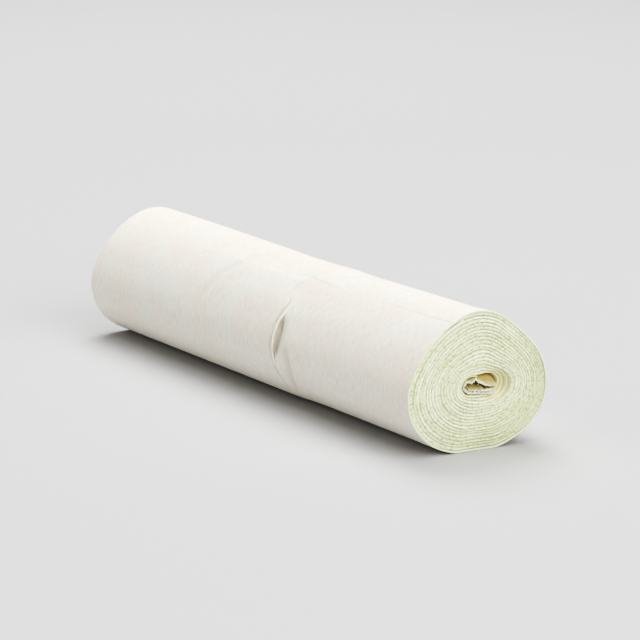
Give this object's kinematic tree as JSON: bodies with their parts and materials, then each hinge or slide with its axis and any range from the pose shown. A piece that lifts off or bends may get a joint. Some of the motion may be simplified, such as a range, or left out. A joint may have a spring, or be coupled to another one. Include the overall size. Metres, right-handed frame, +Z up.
{
  "type": "gauze bandage roll",
  "caption": "Slim roll of open-wove cotton bandage wound on itself, slightly flattened, with a spiral of cut edges at both ends and a puckered free end.",
  "frame": {"origin": "middle of the roll's box, on the surface that it lies on", "axes": "+X along the roll towards its near end, +Y across it, +Z up"},
  "size_m": [0.1, 0.0252, 0.0212],
  "materials": {
    "gauze": "bleached open-wove cotton, matt, warm white on the side and faintly green at the cut edges"
  },
  "bodies": {
    "root": {"gauze_roll": "gauze"}
  },
  "joints": []
}
